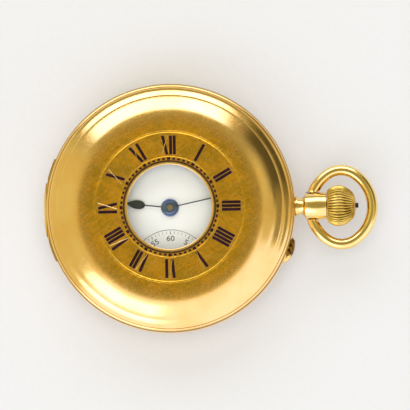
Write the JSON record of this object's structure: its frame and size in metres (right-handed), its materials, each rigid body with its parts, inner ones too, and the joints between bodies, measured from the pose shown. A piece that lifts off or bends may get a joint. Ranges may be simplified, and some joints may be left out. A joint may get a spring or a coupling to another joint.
{
  "type": "half hunter pocket watch",
  "caption": "Gold half hunter pocket watch with a windowed front cover, side pendant, bow and crown, and a working going train, winding and setting work.",
  "frame": {"origin": "on the case axis, in the plane on which the flat of the back cover rests", "axes": "+X along the pendant towards the bow (three o'clock), +Y towards twelve o'clock, +Z out of the face"},
  "size_m": [0.0671, 0.0504, 0.0132],
  "materials": {
    "case_gold": "polished yellow gold colour",
    "inner_gold": "satin gilt",
    "movement_gilt": "frosted gilt brass",
    "wheel_brass": "grained brass",
    "steel": "polished steel",
    "dark_steel": "oiled dark steel",
    "blued_steel": "heat blued steel",
    "enamel_blue": "blue black enamel",
    "dial_enamel": "white enamel",
    "crystal": "clear mineral glass",
    "ruby": "ruby"
  },
  "bodies": {
    "case": {"case_band": "case_gold", "pendant": "case_gold", "push_guard": "case_gold", "hinge_pins": "case_gold", "inner_bezel": "inner_gold", "dial_glass": "crystal", "main_plate": "movement_gilt", "barrel_bridge": "movement_gilt", "train_bridge": "movement_gilt", "balance_cock": "movement_gilt", "pallet_cock": "movement_gilt", "bridge_screws": "steel", "case_screws": "steel", "jewels": "ruby", "click_spring": "steel", "dial": "dial_enamel", "hairspring": "blued_steel"},
    "front_lid": {"front_cover": "case_gold", "cover_numerals": "enamel_blue", "cover_glass_ring": "case_gold", "cover_glass": "crystal"},
    "back_lid": {"back_cover": "case_gold"},
    "inner_lid": {"cuvette": "inner_gold"},
    "bow_ring": {"bow": "case_gold"},
    "push_tube": {"push_sleeve": "steel"},
    "crown_and_stem": {"crown": "case_gold", "winding_stem": "dark_steel"},
    "lock_spring_arm": {"lock_spring": "steel"},
    "lift_spring_arm": {"lift_spring": "steel"},
    "push_piece": {"push_pin": "steel"},
    "lever": {"setting_lever": "steel"},
    "yoke": {"clutch_yoke": "steel"},
    "clutch_wheel": {"clutch": "steel"},
    "winding_gear": {"winding_pinion": "steel"},
    "crown_gear": {"crown_wheel": "steel"},
    "ratchet": {"ratchet_wheel": "steel", "ratchet_screw": "steel", "barrel_arbor": "steel"},
    "click_pawl": {"click": "steel"},
    "centre_arbor": {"centre_wheel": "wheel_brass", "cannon_pinion": "steel", "minute_hand": "blued_steel"},
    "third_arbor": {"third_wheel": "wheel_brass"},
    "fourth_arbor": {"fourth_wheel": "wheel_brass", "seconds_hand": "blued_steel"},
    "escape_arbor": {"escape_wheel": "steel"},
    "barrel_drum": {"barrel": "wheel_brass", "barrel_cover": "wheel_brass", "mainspring": "steel"},
    "minute_gear": {"minute_wheel": "wheel_brass"},
    "hour_gear": {"hour_wheel": "wheel_brass", "hour_hand": "blued_steel"},
    "setting_gear": {"setting_wheel": "steel"},
    "balance": {"balance_wheel": "wheel_brass", "balance_screws": "wheel_brass", "balance_staff": "steel", "roller": "ruby"},
    "pallets": {"pallet_fork": "steel", "pallet_stones": "ruby"},
    "regulator_arm": {"regulator": "steel"}
  },
  "joints": [
    {"name": "front_cover_hinge", "type": "hinge", "parent": "case", "child": "front_lid", "pos_m": [-0.0247, 0, 0.0086], "axis": [0, -1, 0], "range_deg": [0, 95]},
    {"name": "lift_spring_flex", "type": "hinge", "parent": "case", "child": "lift_spring_arm", "pos_m": [-0.01342, 0.01718, 0.0061], "axis": [0, 0, -1], "range_deg": [0, 0.6]},
    {"name": "back_cover_hinge", "type": "hinge", "parent": "case", "child": "back_lid", "pos_m": [-0.0247, 0, 0.0036], "axis": [0, 1, 0], "range_deg": [0, 100]},
    {"name": "cuvette_hinge", "type": "hinge", "parent": "case", "child": "inner_lid", "pos_m": [-0.023, 0, 0.0036], "axis": [0, 1, 0], "range_deg": [0, 76]},
    {"name": "bow_swivel", "type": "hinge", "parent": "case", "child": "bow_ring", "pos_m": [0.0286, 0, 0.0061], "axis": [0, 1, 0], "range_deg": [-100, 100]},
    {"name": "crown_push", "type": "slide", "parent": "case", "child": "push_tube", "axis": [-1, 0, 0], "range_m": [0, 0.0008], "stiffness_N_per_m": 1500, "springref_m": -0.001},
    {"name": "lock_spring_flex", "type": "hinge", "parent": "case", "child": "lock_spring_arm", "pos_m": [0.01568, -0.01514, 0.0061], "axis": [0, 0, 1], "range_deg": [0, 1.7]},
    {"name": "crown_turn", "type": "hinge", "parent": "push_tube", "child": "crown_and_stem", "pos_m": [0.0315, 0, 0.0061], "axis": [1, 0, 0], "continuous": true},
    {"name": "winding_pinion_spin", "type": "hinge", "parent": "case", "child": "winding_gear", "pos_m": [0.01745, 0, 0.0061], "axis": [1, 0, 0], "continuous": true},
    {"name": "crown_wheel_spin", "type": "hinge", "parent": "case", "child": "crown_gear", "pos_m": [0.0149, 0, 0.0033], "axis": [0, 0, -1], "continuous": true},
    {"name": "ratchet_spin", "type": "hinge", "parent": "case", "child": "ratchet", "pos_m": [0.00692, 0.00643, 0.0033], "axis": [0, 0, -1], "continuous": true},
    {"name": "push_piece_slide", "type": "slide", "parent": "case", "child": "push_piece", "axis": [-0.9397, 0.342, 0], "range_m": [0, 0.00046], "stiffness_N_per_m": 800, "springref_m": -0.0005},
    {"name": "setting_lever_pivot", "type": "hinge", "parent": "case", "child": "lever", "pos_m": [0.01252, -0.0143, 0.0065], "axis": [0, 0, 1], "range_deg": [0, 3.2]},
    {"name": "clutch_yoke_slide", "type": "slide", "parent": "case", "child": "yoke", "axis": [-1, 0, 0], "range_m": [0, 0.000601]},
    {"name": "clutch_spin", "type": "hinge", "parent": "yoke", "child": "clutch_wheel", "pos_m": [0.0156, 0, 0.0061], "axis": [1, 0, 0], "continuous": true},
    {"name": "click_pivot", "type": "hinge", "parent": "case", "child": "click_pawl", "pos_m": [0.00543, 0.0149, 0.0033], "axis": [0, 0, -1], "range_deg": [0, 8], "stiffness_Nm_per_rad": 0.00001},
    {"name": "seconds_spin", "type": "hinge", "parent": "case", "child": "fourth_arbor", "pos_m": [0, -0.0124, 0.0065], "axis": [0, 0, -1], "continuous": true},
    {"name": "third_wheel_spin", "type": "hinge", "parent": "case", "child": "third_arbor", "pos_m": [0.00219, -0.00733, 0.0065], "axis": [0, 0, -1], "continuous": true},
    {"name": "centre_wheel_spin", "type": "hinge", "parent": "case", "child": "centre_arbor", "pos_m": [0, 0, 0.0065], "axis": [0, 0, -1], "continuous": true},
    {"name": "escape_wheel_spin", "type": "hinge", "parent": "case", "child": "escape_arbor", "pos_m": [-0.00496, -0.01059, 0.0065], "axis": [0, 0, -1], "continuous": true},
    {"name": "barrel_spin", "type": "hinge", "parent": "case", "child": "barrel_drum", "pos_m": [0.00692, 0.00643, 0.0065], "axis": [0, 0, -1], "continuous": true},
    {"name": "minute_wheel_spin", "type": "hinge", "parent": "case", "child": "minute_gear", "pos_m": [0.0048, 0, 0.008], "axis": [0, 0, -1], "continuous": true},
    {"name": "hour_wheel_spin", "type": "hinge", "parent": "case", "child": "hour_gear", "pos_m": [0, 0, 0.008], "axis": [0, 0, -1], "continuous": true},
    {"name": "setting_wheel_spin", "type": "hinge", "parent": "case", "child": "setting_gear", "pos_m": [0.0116, 0, 0.008], "axis": [0, 0, -1], "continuous": true},
    {"name": "balance_swing", "type": "hinge", "parent": "case", "child": "balance", "pos_m": [-0.0116, -0.0036, 0.0065], "axis": [0, 0, -1], "range_deg": [-270, 270], "stiffness_Nm_per_rad": 0.0000002},
    {"name": "pallet_rock", "type": "hinge", "parent": "case", "child": "pallets", "pos_m": [-0.00767, -0.00774, 0.0065], "axis": [0, 0, -1], "range_deg": [-4, 4]},
    {"name": "regulator_turn", "type": "hinge", "parent": "case", "child": "regulator_arm", "pos_m": [-0.0116, -0.0036, 0.00275], "axis": [0, 0, -1], "range_deg": [-20, 20]}
  ],
  "couplings": [
    {"joint": "lift_spring_flex", "follows": "front_cover_hinge", "ratio": 0.006},
    {"joint": "cuvette_hinge", "follows": "back_cover_hinge", "ratio": 0.75},
    {"joint": "lock_spring_flex", "follows": "crown_push", "rad_per_m": 36},
    {"joint": "winding_pinion_spin", "follows": "crown_turn", "ratio": 1},
    {"joint": "crown_wheel_spin", "follows": "crown_turn", "ratio": -0.66667},
    {"joint": "ratchet_spin", "follows": "crown_turn", "ratio": 0.38462},
    {"joint": "setting_lever_pivot", "follows": "push_piece_slide", "rad_per_m": 116.33},
    {"joint": "clutch_yoke_slide", "follows": "push_piece_slide", "ratio": 1.3043},
    {"joint": "clutch_spin", "follows": "crown_turn", "ratio": 1},
    {"joint": "third_wheel_spin", "follows": "seconds_spin", "ratio": -0.13333},
    {"joint": "centre_wheel_spin", "follows": "seconds_spin", "ratio": 0.016667},
    {"joint": "escape_wheel_spin", "follows": "seconds_spin", "ratio": -10},
    {"joint": "barrel_spin", "follows": "seconds_spin", "ratio": -0.0020833},
    {"joint": "minute_wheel_spin", "follows": "seconds_spin", "ratio": -0.0055556},
    {"joint": "hour_wheel_spin", "follows": "seconds_spin", "ratio": 0.0013889},
    {"joint": "setting_wheel_spin", "follows": "seconds_spin", "ratio": 0.00625}
  ]
}
